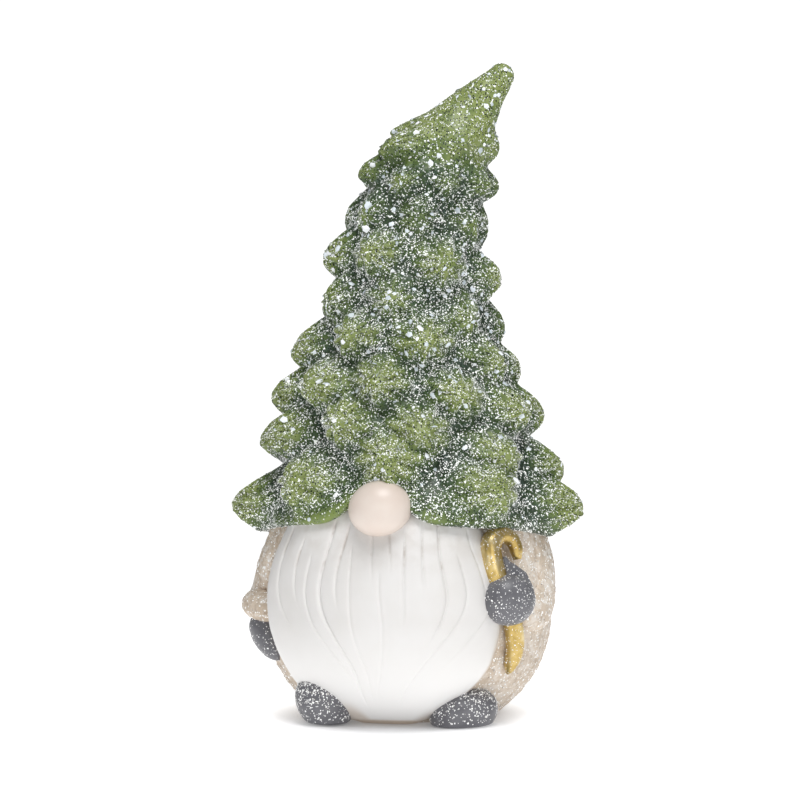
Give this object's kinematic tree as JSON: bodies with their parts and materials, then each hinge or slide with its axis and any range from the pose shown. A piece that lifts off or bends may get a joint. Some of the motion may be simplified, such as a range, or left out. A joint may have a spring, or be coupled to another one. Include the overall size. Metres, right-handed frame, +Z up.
{
  "type": "tomte gnome figurine",
  "caption": "Round ceramic gnome with a tall bent pine-tree hat, full carved beard, ball nose and a gold crook in its mitten.",
  "frame": {"origin": "centre of the foot ring, on the surface the gnome stands on", "axes": "+Z up along the body's axis; the gnome looks along -Y; its left hand is on +X"},
  "size_m": [0.1393, 0.1361, 0.2582],
  "materials": {
    "coat": "matte",
    "hat_glaze": "satin",
    "beard_white": "satin",
    "nose_pink": "satin",
    "slate": "satin",
    "gold_leaf": "gloss"
  },
  "bodies": {
    "root": {"body_shell": "coat", "hat_shell": "hat_glaze", "beard": "beard_white", "nose": "nose_pink", "right_sleeve": "coat", "right_cuff": "coat", "right_mitten": "slate", "left_sleeve": "coat", "left_mitten": "slate", "crook": "gold_leaf", "right_boot": "slate", "left_boot": "slate"}
  },
  "joints": []
}
